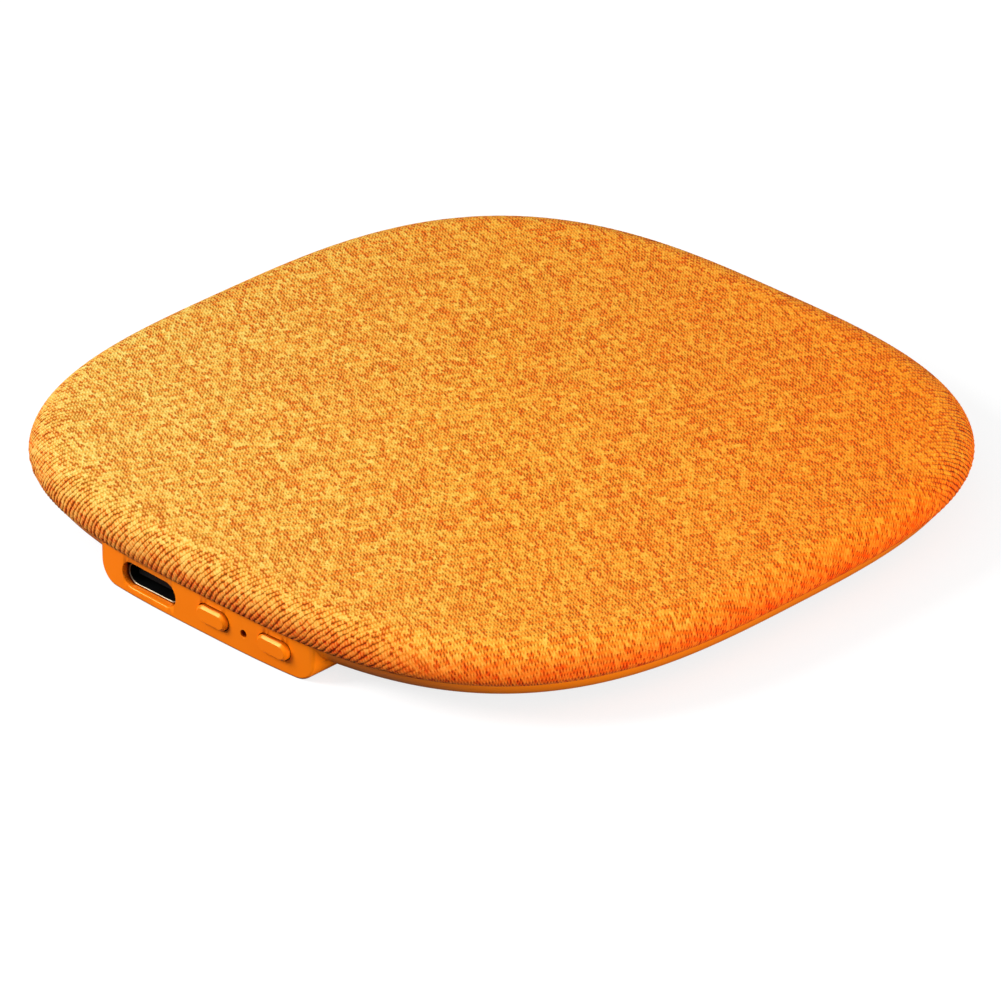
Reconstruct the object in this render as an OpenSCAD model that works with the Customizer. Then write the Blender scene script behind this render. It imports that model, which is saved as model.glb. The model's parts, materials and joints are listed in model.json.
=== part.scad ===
// Pillow speaker: a thin fabric-covered body on a shallow pod that holds the socket and two buttons.
// Origin at the middle of the body on the table, +Z up, the pod's face towards -Y. Millimetres.

/* [Body] */
// Side of the rounded square outline
body_side = 103; // [96:1:114]
// Squareness of the outline, where 2 is a circle
outline_power = 3.05; // [2.8:0.05:3.4]
// Wall of the base housing
shell_wall = 1.1; // [1:0.05:1.4]
// Radius of the curve under the rim
rim_r = 6.1; // [5.8:0.1:6.6]
// Slope of the rim where it meets the fabric, in degrees from upright
rim_lean = 24; // [20:1:26]
// How far the top of the rim and the pod's face stand in from the outline
rim_inset = 0.8; // [0.7:0.05:1.1]
// Clear height between the base floor and the cover plate
room_h = 4.55; // [4.45:0.05:5.4]

/* [Pod] */
// Width of the pod
pod_w = 36.8; // [36:0.2:42]
// How far the pod hangs below the base
pod_drop = 1.6; // [1.4:0.05:2.2]
// Distance from the middle of the body to the pod's back
pod_back = 34; // [30:0.5:38]
// Radius of the pod's lower edges
pod_r = 2.8; // [2:0.1:3.2]
// Thickness of the front wall at its middle
front_wall = 1.65; // [1.5:0.05:1.9]

/* [Cover and fabric] */
// Wall of the cover under the fabric
cover_wall = 1.2; // [1:0.1:1.5]
// Thickness of the fabric
fabric_t = 0.5; // [0.35:0.05:0.55]
// Thickness of the foam at its edge
foam_t = 0.6; // [0.4:0.05:1]
// How far the middle of the top stands above its edge
crown_h = 0.6; // [0.2:0.05:1]
// Width of the rounded top edge
edge_w = 4.6; // [4:0.1:5.6]
// Height of the fabric's widest line above its hem
bulge_h = 0.8; // [0.7:0.05:1.1]
// Width of the hem that is turned in under the cover
hem_w = 1.4; // [1:0.1:1.8]
// Space between the fabric and what it covers
skin_gap = 0.1; // [0.05:0.01:0.12]
// Width of the lip that holds the foam in its bed
lip_w = 0.5; // [0.4:0.1:0.8]
// Diameter of a sound hole
sound_d = 1.6; // [1:0.1:1.8]
// Distance between sound holes
sound_pitch = 3; // [2.6:0.1:4]

/* [Posts] */
// Diameter of a cover post
post_d = 3; // [2.4:0.1:3.4]
// Wall of the sleeve round a post
sleeve_wall = 1.1; // [0.8:0.1:1.4]
// Height of a sleeve
sleeve_h = 2.6; // [2:0.1:3]
// How far the posts stand in from the outline
post_inset = 12; // [11.5:0.25:13]

/* [Ribs] */
// Thickness of a rib on the base's floor
rib_t = 0.8; // [0.6:0.1:1]
// Height of a rib on the base's floor
rib_h = 1.2; // [0.8:0.1:1.6]

/* [Socket] */
// Place of the socket along the face
usb_x = -9.4; // [-10.4:0.1:-9]
// Width of the opening for the socket
slot_w = 9.6; // [9.3:0.1:9.8]
// Height of the opening for the socket
slot_h = 3.3; // [3.26:0.02:3.4]
// Bevel round the opening for the socket
slot_bevel = 0.25; // [0.15:0.05:0.35]
// Outside width of the metal shell
usb_w = 8.94; // [8.9:0.01:9]
// Outside height of the metal shell
usb_h = 3.16; // [3.1:0.01:3.2]
// Sheet thickness of the metal shell
usb_wall = 0.3; // [0.25:0.01:0.34]
// Length of the metal shell
usb_l = 7.3; // [6.8:0.1:8]
// How far the shell lies behind the face
usb_recess = 0.95; // [0.8:0.05:1.1]
// Space under the shell
usb_floor_gap = 0.15; // [0.1:0.01:0.3]
// Width of the tongue
tongue_w = 6.7; // [6.4:0.1:6.9]
// Thickness of the tongue
tongue_t = 0.7; // [0.6:0.05:0.8]
// How far the tongue lies behind the shell's mouth
tongue_recess = 0.7; // [0.5:0.05:1]

/* [Buttons] */
// Distance from the pod's side to the middle of the second button
button_side = 6.15; // [5.8:0.05:6.6]
// Distance between the buttons
button_pitch = 10.2; // [10:0.05:10.8]
// Length of a button
button_w = 5.1; // [4.8:0.1:5.4]
// Height of a button
button_h = 2.3; // [2:0.1:2.5]
// How far a button stands out of the face
button_proud = 0.65; // [0.4:0.05:0.75]
// Bevel round a button's front
button_bevel = 0.25; // [0.15:0.05:0.35]
// Space round a button in its hole
button_gap = 0.14; // [0.1:0.01:0.2]
// Travel of a button
button_travel = 0.25; // [0.15:0.01:0.35]
// How far a button's flange reaches past it all round
flange_lip = 0.4; // [0.3:0.05:0.5]
// Thickness of a button's flange
flange_t = 0.6; // [0.4:0.05:0.8]
// How far the buttons lie above the middle of the socket
button_rise = 0.25; // [0:0.05:0.35]

/* [Microphone] */
// Diameter of the microphone hole
mic_hole_d = 1; // [0.8:0.05:1.2]
// Diameter of the microphone capsule
mic_d = 2.2; // [1.8:0.1:2.4]
// Length of the microphone capsule
mic_l = 1.2; // [1:0.1:1.4]
// Wall of the rubber boot
boot_wall = 0.4; // [0.3:0.05:0.5]

/* [Circuit board] */
// Thickness of the board
board_t = 0.8; // [0.6:0.1:1]
// Length of the board from front to back
board_l = 17.8; // [17:0.1:19]
// Space between the board and the pod's side walls
board_gap = 0.7; // [0.4:0.1:1]
// Space between the board and the front wall
board_front_gap = 1.3; // [1.2:0.05:1.5]
// Diameter of a board boss
boss_d = 3; // [2.6:0.1:3.2]
// Diameter of a screw's thread
screw_d = 1.4; // [1.2:0.1:1.6]
// Diameter of a screw's head
screw_head_d = 2.6; // [2.2:0.1:2.8]
// Height of a screw's head
screw_head_h = 0.7; // [0.5:0.05:0.9]

/* [Driver] */
// Outside radius of the driver
driver_r = 15.5; // [15:0.1:16]
// Width of the driver's flange
driver_rim = 2.1; // [1.9:0.1:2.4]
// Thickness of the flange
driver_rim_t = 0.7; // [0.6:0.05:0.8]
// Height of the ring that carries the driver under the cover plate
driver_ring_h = 0.9; // [0.8:0.05:1]
// Thickness of the gasket
gasket_t = 0.3; // [0.2:0.05:0.4]
// Space between the driver and the pod's floor
driver_floor_gap = 0.25; // [0.15:0.05:0.35]
// Travel of the cone each way
cone_travel = 0.3; // [0.1:0.05:0.35]
// Radius of the magnet's pole plate
pole_r = 6.2; // [6:0.1:6.4]
// Thickness of the voice coil
coil_t = 0.4; // [0.3:0.05:0.5]
// Running space on each side of the voice coil
coil_gap = 0.35; // [0.3:0.05:0.4]
// Wall of the steel yoke
yoke_wall = 1.2; // [1:0.1:1.3]

/* [Battery] */
// Space between the cell and the pod's side walls
battery_side = 2.3; // [2:0.1:3.4]
// Thickness of the cell
battery_h = 4.4; // [3.6:0.1:4.8]
// Thickness of the tape under the cell
tape_t = 0.2; // [0.1:0.05:0.4]
// Space round the cell in its bay
battery_gap = 0.8; // [0.5:0.1:1.2]
// Diameter of a lead
lead_d = 0.8; // [0.6:0.05:0.9]

/* [Hidden] */
$fn = 64;
orange = [0.96, 0.50, 0.06];
fabric_orange = [0.94, 0.54, 0.14];
ring_steps = 96;
face_steps = 288;
e = 0.01;
fit_gap = 0.05;
overlap = 1.2;

// Outline and rim
half = body_side / 2;
rim_mid = rim_inset + rim_r * cos(rim_lean);
rim_inner_r = rim_r - shell_wall;
base_z = pod_drop;
floor_z = base_z + shell_wall;
seam_z = base_z + rim_r * (1 - sin(rim_lean));
plate_z = floor_z + room_h;
plate_top = plate_z + cover_wall;
plateau_z = plate_top + foam_t + skin_gap + fabric_t;
hem_z = seam_z + fit_gap;
wide_z = hem_z + bulge_h;
cap_r = 6;
bed_inset = edge_w + lip_w;
cover_skin = fabric_t + skin_gap;

// Pod
pod_floor = shell_wall;
pod_in_x = pod_w / 2 - shell_wall;
pod_in_back = pod_back - shell_wall;
cavity_y = rim_inset + front_wall - half;

// Posts between the base and the cover
post_angles = [10, 50, 130, 170, 235, 305];
post_floor_gap = 0.3;
sleeve_r = post_d / 2 + fit_gap + sleeve_wall;

// Ribs between the pod or a sleeve and the rim
rib_bite = 0.25;
rib_low = rim_mid - 1.4;
rib_high = rim_mid - sqrt(pow(rim_inner_r, 2) - pow(rim_inner_r - rib_h, 2)) - rib_bite;
side_ribs = [-24, -9, 20];
back_ribs = [-9, 9];

// Controls
usb_z = pod_floor + usb_floor_gap + usb_h / 2;
board_z = usb_z + usb_h / 2;
usb_front = face_y(usb_x) + usb_recess;
button_z = usb_z + button_rise;
button_2_x = pod_w / 2 - button_side;
button_x = button_2_x - button_pitch;
mic_x = button_x + button_pitch / 2;
stem_w = 1.8;
stem_h = 1.3;
stem_l = 0.9;
switch_w = 3.8;
switch_l = 2;
switch_h = 2 * (board_z - button_z);
plunger_l = 0.5;
plunger_in = 0.6;
flange_y = cavity_y + fit_gap;
stem_y = flange_y + flange_t;
plunger_y = stem_y + stem_l + fit_gap;
switch_y = plunger_y + plunger_l;

// Board
board_top = board_z + board_t;
board_y = cavity_y + board_front_gap;
board_back = board_y + board_l;
board_w = 2 * (pod_in_x - board_gap);
boss_x = board_w / 2 - 2.6;
boss_in = 2.4;
front_boss_x = -2.5;
bosses = [
    [front_boss_x, switch_y + switch_l + boss_d / 2 + 0.3],
    [-boss_x, board_back - boss_in],
    [boss_x, board_back - boss_in]
];
screw_bite = 2;
screw_end = 0.6;
screw_hole_d = screw_d + 0.2;
leg_w = 1.1;
leg_out = 0.3;
leg_spots = [1.4, 5.2];

// Pieces on the board, from its back and its right edge
radio_x = 8.4 - board_w / 2;
radio_back = 2.4;
radio_w = 8;
radio_l = 9;
radio_t = 0.5;
antenna_l = 2.4;
can_edge = 0.4;
can_h = 1;
chip_x = 3.4;
chip_back = 7;
chip_w = 5;
chip_t = 0.8;
amp_x = board_w / 2 - 5.8;
amp_back = 9;
amp_w = 4;
choke_back = 5;
choke_w = 3;
choke_h = 1.4;
small_x = board_w / 2 - 2;
small_back = 7.6;
small_w = 1;
small_l = 1.4;
small_t = 0.6;
small_pitch = 2;

// Driver
ear_r = 2;
ear_angles = [90, 222, 318];
ear_out = 1.1;
ear_reach = driver_r + ear_out;
bay_gap = 1.6;
driver_y = board_back + bay_gap + driver_r;
rim_top = plate_z - driver_ring_h - gasket_t;
rim_low = rim_top - driver_rim_t;
roll_w = 1.9;
cone_r = driver_r - driver_rim - roll_w;
coil_in = pole_r + coil_gap;
coil_out = coil_in + coil_t;
yoke_in = coil_out + coil_gap;
yoke_r = yoke_in + yoke_wall;
yoke_z = pod_floor + driver_floor_gap;
yoke_floor_t = 0.9;
yoke_drop = 1.45;
yoke_top = rim_top - yoke_drop;
pole_t = 0.9;
magnet_in = 0.2;
coil_drop = 0.6;
coil_top = rim_top - coil_drop;
coil_floor_gap = 0.4;
coil_low = yoke_z + yoke_floor_t + cone_travel + coil_floor_gap;
cone_t = 0.35;
surround_t = 0.25;
roll_h = 0.5;
basket_t = 0.7;
basket_drop = 1.4;
basket_low = yoke_top - basket_drop;
ledge_w = 1.9;
basket_r = yoke_r + fit_gap + ledge_w;
basket_in = 0.3;
wall_in = 0.5;
window_w = 5.2;
tab_x = -5.5;
tab_w = 6;
tab_l = 3;

// Battery
battery_w = 2 * (pod_in_x - battery_side);
battery_y = driver_y + ear_reach + ear_r + battery_gap;
guard_l = 3;
guard_h = 2.6;
guard_in = 2;
guard_x = -1.6;
cell_y = battery_y + guard_l + 0.4;
cell_back = pod_in_back - battery_gap;
cell_z = pod_floor + tape_t;
header_x = 7;
header_w = 4.6;
header_l = 2.6;
header_h = 1.5;
lead_x = pod_in_x - lead_d;

// Distance to the outline at an angle, where the side's middle is at 1
function reach(angle) =
    pow(pow(abs(cos(angle)), outline_power) + pow(abs(sin(angle)), outline_power), -1 / outline_power);

// Points of the outline, set in by a distance
function outline(inset, steps = ring_steps) = [
    for (i = [0:steps - 1])
        let (angle = 360 * i / steps, r = (half - inset) * reach(angle))
            [r * cos(angle), r * sin(angle)]
];

// How far the outline reaches on a line that runs beside the middle
function side_reach(inset, beside) = let (a = half - inset)
    a * pow(1 - pow(abs(beside) / a, outline_power), 1 / outline_power);

// The pod's face at a place along it
function face_y(x) = -side_reach(rim_inset, x);

// A spot inside the body at an angle, set in from the outline
function spot(angle, inset) = (half - inset) * reach(angle) * [cos(angle), sin(angle)];

// Section of the body's skin as [inset, height] points, depth below the fabric's surface
function crown(depth, steps) = [
    for (i = [0:steps - 1])
        let (s = (cap_r + (half - edge_w - cap_r) * i / steps) / (half - edge_w))
            [half - s * (half - edge_w), plateau_z - depth + crown_h * pow(1 - s * s, 2)]
];
function upper_edge(depth, steps) = [
    for (i = [0:steps])
        let (angle = 90 * (1 - i / steps))
            [edge_w - (edge_w - depth) * cos(angle), wide_z + (plateau_z - wide_z - depth) * sin(angle)]
];
function lower_edge(depth, steps) = [
    for (i = [1:steps])
        let (angle = 90 * i / steps)
            [rim_inset - (rim_inset - depth) * cos(angle), wide_z - (bulge_h - depth) * sin(angle)]
];
function reversed(list) = [for (i = [len(list) - 1:-1:0]) list[i]];

// Bands of faces between the rings of a section
function bands(rings, closed) = [
    for (j = [0:rings - (closed ? 1 : 2)])
        for (i = [0:ring_steps - 1])
            let (a = j * ring_steps, b = ((j + 1) % rings) * ring_steps, k = (i + 1) % ring_steps)
                [a + i, b + i, b + k, a + k]
];
function rings_of(section) = [for (s = section) for (p = outline(s[0])) [p[0], p[1], s[1]]];

// A section, outwards below and inwards above, carried round the outline as a ring
module ring(section) {
    polyhedron(rings_of(section), bands(len(section), true), convexity = 6);
}

// A section from below to above, carried round the outline and closed across the middle at both ends
module lens(section) {
    last = (len(section) - 1) * ring_steps;
    bottom = [for (i = [0:ring_steps - 1]) i];
    top = [for (i = [ring_steps - 1:-1:0]) last + i];
    polyhedron(rings_of(section), concat(bands(len(section), false), [bottom, top]), convexity = 6);
}

// A flat plate with the body's outline
module plate(inset, z, thick, steps = ring_steps) {
    translate([0, 0, z]) linear_extrude(thick) polygon(outline(inset, steps));
}

// A shape drawn in X and Z, carried from front to back
module along_y(y, length) {
    translate([0, y + length, 0]) rotate([90, 0, 0]) linear_extrude(length) children();
}

// A flat shape with round ends
module stadium(w, h) {
    square([w - h, h], center = true);
    for (side = [-1, 1]) translate([side * (w - h) / 2, 0]) circle(d = h);
}

// A box centred in X, from its front and its underside
module block(x, y, z, size) {
    translate([x - size[0] / 2, y, z]) cube(size);
}

// The pod's section, set in by a wall
module pod_section(wall, top) {
    w = pod_w - 2 * wall;
    r = pod_r - wall;
    translate([-w / 2, wall + r]) square([w, top - wall - r]);
    translate([r - w / 2, wall]) square([w - 2 * r, r + e]);
    for (side = [-1, 1]) translate([side * (w / 2 - r), wall + r]) circle(r);
}

// A tube along a path
function unit(v) = v / norm(v);
function smooth(p) = [
    p[0],
    for (i = [0:len(p) - 2]) each [0.75 * p[i] + 0.25 * p[i + 1], 0.25 * p[i] + 0.75 * p[i + 1]],
    p[len(p) - 1]
];
function heading(p, i) = unit(p[min(i + 1, len(p) - 1)] - p[max(i - 1, 0)]);
module tube(path, d, sides = 8) {
    n = len(path);
    points = [
        for (i = [0:n - 1])
            let (t = heading(path, i), s = unit(cross(t, [0, 0, 1])), u = cross(s, t))
                for (k = [0:sides - 1])
                    path[i] + d / 2 * (cos(360 * k / sides) * s + sin(360 * k / sides) * u)
    ];
    walls = [
        for (i = [0:n - 2]) for (k = [0:sides - 1])
            let (a = i * sides, b = a + sides, m = (k + 1) % sides) [a + k, b + k, b + m, a + m]
    ];
    ends = [[for (k = [sides - 1:-1:0]) k], [for (k = [0:sides - 1]) (n - 1) * sides + k]];
    polyhedron(points, concat(walls, ends), convexity = 4);
}

// Where the driver's ears are screwed to the cover
module at_ears() {
    for (angle = ear_angles)
        translate([ear_reach * cos(angle), driver_y + ear_reach * sin(angle), 0]) children();
}

// A rib on the base's floor, outwards along X into the curve of the rim
module rib(start, low, high) {
    rotate([90, 0, 0]) translate([0, 0, -rib_t / 2]) linear_extrude(rib_t) polygon([
        [start, floor_z - e],
        [low, floor_z - e],
        [high, floor_z + rib_h],
        [start, floor_z + rib_h]
    ]);
}
module ribs() {
    for (angle = post_angles)
        rotate(angle) rib((half - post_inset) * reach(angle) + sleeve_r - sleeve_wall / 2,
            (half - rib_low) * reach(angle), (half - rib_high) * reach(angle));
    for (turn = [0, 180]) rotate(turn) for (y = side_ribs)
        translate([0, turn == 0 ? y : -y, 0])
            rib(pod_w / 2 - shell_wall / 2, side_reach(rib_low, y), side_reach(rib_high, y));
    for (x = back_ribs)
        translate([x, 0, 0]) rotate(90)
            rib(pod_back - shell_wall / 2, side_reach(rib_low, x), side_reach(rib_high, x));
}

// Bevelled mouth of the opening for the socket, square to the face there
module slot_mouth() {
    out = 0.2;
    tilt = atan((face_y(usb_x + slot_w / 2) - face_y(usb_x - slot_w / 2)) / slot_w);
    grow = slot_bevel + fit_gap + out;
    translate([usb_x, face_y(usb_x), usb_z]) rotate(tilt) translate([0, slot_bevel + fit_gap, 0])
        mirror([0, 1, 0]) widening(slot_w - 2 * fit_gap, slot_h - 2 * fit_gap, grow);
}

// Moulded base with its rim, the pod and the bosses that carry the board
module base_housing() {
    rim_section = concat(
        [[rim_mid + overlap, base_z]],
        [for (i = [0:5]) let (a = 90 - (90 - rim_lean) * i / 5)
            [rim_mid - rim_r * cos(a), base_z + rim_r * (1 - sin(a))]],
        [for (i = [0:4])
            let (low = asin(rim_r * sin(rim_lean) / rim_inner_r), a = low + (90 - low) * i / 4)
                [rim_mid - rim_inner_r * cos(a), base_z + rim_r - rim_inner_r * sin(a)]],
        [[rim_mid + overlap, floor_z]]
    );
    color(orange) {
        difference() {
            union() {
                ring(rim_section);
                plate(rim_mid, base_z, shell_wall);
                intersection() {
                    plate(rim_inset, 0, seam_z, face_steps);
                    along_y(-body_side, body_side + pod_back) pod_section(0, seam_z);
                }
            }
            along_y(cavity_y, pod_in_back - cavity_y) pod_section(shell_wall, seam_z + overlap);
            translate([usb_x, 0, usb_z]) along_y(-half, front_wall + overlap) stadium(slot_w, slot_h);
            slot_mouth();
            for (x = [button_x, button_2_x])
                translate([x, 0, button_z]) along_y(-half, front_wall + overlap)
                    stadium(button_w + 2 * button_gap, button_h + 2 * button_gap);
            translate([mic_x, 0, usb_z]) along_y(-half, front_wall + overlap) circle(d = mic_hole_d);
        }
        ribs();
        for (p = bosses)
            translate([p[0], p[1], pod_floor - e]) difference() {
                cylinder(d = boss_d, h = board_z - pod_floor + e);
                translate([0, 0, board_z - pod_floor - screw_bite - screw_end])
                    cylinder(d = screw_d + 2 * fit_gap, h = board_z);
            }
        for (angle = post_angles)
            translate([each spot(angle, post_inset), floor_z - e]) difference() {
                cylinder(r = sleeve_r, h = sleeve_h + e);
                translate([0, 0, e + fit_gap]) cylinder(d = post_d + 2 * fit_gap, h = sleeve_h + e);
            }
        block(0, battery_y - battery_gap - shell_wall / 2, pod_floor - e,
            [battery_w - 2 * guard_in, shell_wall / 2, 1.2]);
    }
}

// Moulded cover under the fabric: a skirt, a bed for the foam and the driver's seat
module top_cover() {
    skirt = rim_inset + cover_wall;
    cover_low = hem_z + fabric_t + skin_gap;
    section = concat(
        [[bed_inset + overlap, plate_top], [bed_inset, plate_top], [bed_inset, plateau_z - cover_skin]],
        upper_edge(cover_skin, 4),
        lower_edge(cover_skin, 2),
        [[skirt, cover_low], [skirt, wide_z], [edge_w, plate_z], [bed_inset + overlap, plate_z]]
    );
    color([0.16, 0.16, 0.17]) {
        ring(reversed(section));
        difference() {
            union() {
                plate(bed_inset + overlap / 2, plate_z, cover_wall);
                translate([0, driver_y, plate_z - driver_ring_h])
                    cylinder(r = driver_r, h = driver_ring_h + e);
                at_ears() translate([0, 0, rim_top + fit_gap])
                    cylinder(r = ear_r, h = plate_z - rim_top);
            }
            translate([0, driver_y, plate_z - driver_ring_h - e])
                cylinder(r = driver_r - driver_rim, h = driver_ring_h + e);
            translate([0, driver_y, rim_top]) cylinder(r = driver_r + fit_gap, h = gasket_t + e);
            sound_holes();
            at_ears() translate([0, 0, rim_top - e])
                cylinder(d = screw_d + 2 * fit_gap, h = plate_top - rim_top - 0.2);
        }
        for (angle = post_angles)
            translate([each spot(angle, post_inset), floor_z + post_floor_gap])
                cylinder(d = post_d, h = room_h - post_floor_gap + e);
    }
}

// Sound holes over the cone, on a triangular grid
module sound_holes() {
    row = sound_pitch * sin(60);
    open_r = driver_r - driver_rim - sound_d;
    n = ceil(open_r / row);
    for (j = [-n:n]) for (i = [-n - 1:n + 1]) {
        x = sound_pitch * (i + (j % 2 == 0 ? 0 : 0.5));
        if (norm([x, j * row]) < open_r)
            translate([x, driver_y + j * row, plate_z - e])
                cylinder(d = sound_d, h = cover_wall + 2 * e, $fn = 24);
    }
}

// Foam disc in the cover's bed, flat below and crowned above
module foam_pad() {
    foam_inset = bed_inset + skin_gap;
    side = [[foam_inset, plate_top + fit_gap / 2], [foam_inset, plateau_z - cover_skin]];
    color([0.22, 0.22, 0.23]) lens(concat(side, reversed(crown(cover_skin, 3))));
}

// Knitted fabric drawn over the cover, with its hem turned in at the seam
module fabric_cover() {
    outside = concat(crown(0, 4), upper_edge(0, 6), lower_edge(0, 4));
    inside = concat(crown(fabric_t, 3), upper_edge(fabric_t, 4), lower_edge(fabric_t, 2));
    hem = rim_inset + hem_w;
    color(fabric_orange)
        lens(concat(inside, [[hem, hem_z + fabric_t], [hem, hem_z]], reversed(outside)));
}

// A shape with round ends that widens from front to back, as deep as it widens on each side
module widening(w, h, grow) {
    r = h / 2;
    for (side = [-1, 1]) translate([side * (w / 2 - r), 0, 0])
        rotate([-90, 0, 0]) cylinder(h = grow, r1 = r, r2 = r + grow);
    rotate([90, 0, 90]) translate([0, 0, r - w / 2]) linear_extrude(w - h)
        polygon([[0, -r], [grow, -r - grow], [grow, r + grow], [0, r]]);
}

// A button: its cap, the flange behind the wall and the stem
module button(x) {
    front = face_y(x) - button_proud;
    color(orange) translate([x, 0, button_z]) {
        translate([0, front, 0])
            widening(button_w - 2 * button_bevel, button_h - 2 * button_bevel, button_bevel);
        along_y(front + button_bevel - e, flange_y - front - button_bevel + 2 * e)
            stadium(button_w, button_h);
        along_y(flange_y, flange_t) stadium(button_w + 2 * flange_lip, button_h + 2 * flange_lip);
        along_y(stem_y - e, stem_l + e) square([stem_w, stem_h], center = true);
    }
}
module button_up() { button(button_x); }
module button_down() { button(button_2_x); }

// A side-pressed switch under the board, with a well for its plunger
module switch_body(x) {
    color([0.12, 0.12, 0.13]) translate([x, 0, button_z]) difference() {
        along_y(switch_y, switch_l) square([switch_w, switch_h - fit_gap], center = true);
        along_y(switch_y - e, plunger_in + button_travel + fit_gap)
            square([stem_w + 2 * fit_gap, stem_h + 2 * fit_gap], center = true);
    }
}
module plunger(x) {
    color("gainsboro") translate([x, 0, button_z])
        along_y(plunger_y, plunger_l + plunger_in) square([stem_w, stem_h], center = true);
}
module switch_up() { switch_body(button_x); }
module switch_down() { switch_body(button_2_x); }
module switch_up_plunger() { plunger(button_x); }
module switch_down_plunger() { plunger(button_2_x); }

// Rubber boot that seals the microphone to the front wall
module microphone_boot() {
    boot_d = mic_d + 2 * boot_wall;
    color([0.1, 0.1, 0.1]) translate([mic_x, 0, usb_z]) difference() {
        along_y(flange_y, mic_l + boot_wall) circle(d = boot_d);
        along_y(flange_y - e, boot_wall + 2 * e) circle(d = mic_hole_d);
        along_y(flange_y + boot_wall, mic_l + e) circle(d = mic_d + fit_gap);
    }
}
module microphone_capsule() {
    color("silver") translate([mic_x, 0, usb_z])
        along_y(flange_y + boot_wall + fit_gap, mic_l) circle(d = mic_d);
}

// Circuit board with its screw holes and the slots for the socket's legs
module circuit_board() {
    color([0.05, 0.30, 0.16]) difference() {
        block(0, board_y, board_z, [board_w, board_l, board_t]);
        for (p = bosses) translate([p[0], p[1], board_z - e])
            cylinder(d = screw_hole_d, h = board_t + 2 * e);
        usb_legs(0.2);
    }
}

// Legs of the socket, with a space round them
module usb_legs(space) {
    for (side = [-1, 1]) for (y = leg_spots)
        block(usb_x + side * (usb_w / 2 - usb_h / 2), usb_front + y - space, board_z - usb_wall - space,
            [usb_wall + 2 * space, leg_w + 2 * space, usb_wall + board_t + leg_out + 2 * space]);
}

// Drawn metal shell of the socket
module usb_shell() {
    color([0.78, 0.78, 0.80]) {
        translate([usb_x, 0, usb_z]) difference() {
            along_y(usb_front, usb_l) stadium(usb_w, usb_h);
            along_y(usb_front - e, usb_l - usb_wall + e)
                stadium(usb_w - 2 * usb_wall, usb_h - 2 * usb_wall);
        }
        usb_legs(0);
    }
}
module usb_tongue() {
    tongue_y = usb_front + tongue_recess;
    color([0.08, 0.08, 0.09]) translate([usb_x, 0, usb_z])
        along_y(tongue_y, usb_l - usb_wall - tongue_recess) square([tongue_w, tongue_t], center = true);
}

// Screened radio module on the board
module radio_module() {
    color("silver") {
        front = board_back - radio_back - radio_l;
        block(radio_x, front, board_top, [radio_w, radio_l, radio_t]);
        block(radio_x, front + can_edge, board_top + radio_t - e,
            [radio_w - 2 * can_edge, radio_l - can_edge - antenna_l, can_h]);
    }
}

// Chips, coil and capacitors on the board
module board_chips() {
    color([0.1, 0.1, 0.11]) {
        block(chip_x, board_back - chip_back - chip_w, board_top, [chip_w, chip_w, chip_t]);
        block(amp_x, board_back - amp_back - amp_w, board_top, [amp_w, amp_w, chip_t]);
        block(amp_x, board_back - choke_back - choke_w, board_top, [choke_w, choke_w, choke_h]);
        for (i = [0:2])
            block(small_x, board_back - small_back - small_l - small_pitch * i, board_top,
                [small_w, small_l, small_t]);
    }
}

// A screw with a round head, its thread downwards
module screw(length) {
    translate([0, 0, -length]) cylinder(d = screw_d, h = length + e);
    difference() {
        cylinder(d = screw_head_d, h = screw_head_h);
        translate([0, 0, screw_head_h / 2]) cylinder(d = screw_d, h = screw_head_h, $fn = 6);
    }
}
module board_screws() {
    color("silver") for (p = bosses) translate([p[0], p[1], board_top]) screw(board_t + screw_bite);
}
module driver_screws() {
    color("silver") at_ears() translate([0, 0, rim_low]) mirror([0, 0, 1])
        screw(driver_rim_t + gasket_t + driver_ring_h + cover_wall - screw_end);
}

// Socket and plug of the battery leads
module battery_header() {
    color("ivory") difference() {
        block(header_x, board_back - header_l - 1, board_top, [header_w, header_l, header_h]);
        block(header_x, board_back - header_l - 0.6, board_top + 0.3,
            [header_w - 0.8, header_l, header_h - 0.6]);
    }
}
module battery_plug() {
    color("white") block(header_x, board_back - header_l - 0.5, board_top + 0.35,
        [header_w - 0.9, header_l + 0.3, header_h - 0.7]);
}

// Two leads from the plug, down beside the driver to the battery
module battery_leads() {
    plug_back = board_back - 0.2;
    plug_z = board_top + header_h / 2;
    for (i = [0, 1]) {
        x = header_x - 1 + 2 * i;
        low = pod_floor + lead_d * (1.4 + 1.3 * i);
        route = [
            [x, plug_back + fit_gap, plug_z],
            [x, plug_back + 0.7, plug_z],
            [x + 2.5, plug_back + 1.6 - 0.9 * i, plug_z - 0.7],
            [lead_x - 1, board_back + 2.2 - i, low + 1.2],
            [lead_x, board_back + 6, low],
            [lead_x, driver_y, low],
            [lead_x, battery_y - 1.5, low],
            [battery_w / 2 - 1, battery_y + 1.4, low],
            [battery_w / 2 - 2.6, battery_y + 1.5, low]
        ];
        color(i == 0 ? "firebrick" : "black") tube(smooth(smooth(route)), lead_d);
    }
}

// Guard circuit at the end of the cell, where its leads are soldered
module battery_guard() {
    color([0.05, 0.30, 0.16])
        block(guard_x, battery_y, cell_z, [battery_w - 2 * guard_in, guard_l, guard_h]);
}
module battery_tape() {
    color("white")
        block(0, cell_y, pod_floor, [battery_w - 2 * guard_in, cell_back - cell_y, tape_t]);
}

// Pouch cell with round long edges
module battery_cell() {
    r = battery_h / 3;
    color([0.66, 0.68, 0.70]) translate([0, 0, cell_z]) along_y(cell_y, cell_back - cell_y) {
        translate([-battery_w / 2, r]) square([battery_w, battery_h - 2 * r]);
        translate([r - battery_w / 2, 0]) square([battery_w - 2 * r, battery_h]);
        for (side = [-1, 1]) for (z = [r, battery_h - r])
            translate([side * (battery_w / 2 - r), z]) circle(r);
    }
}

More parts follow.
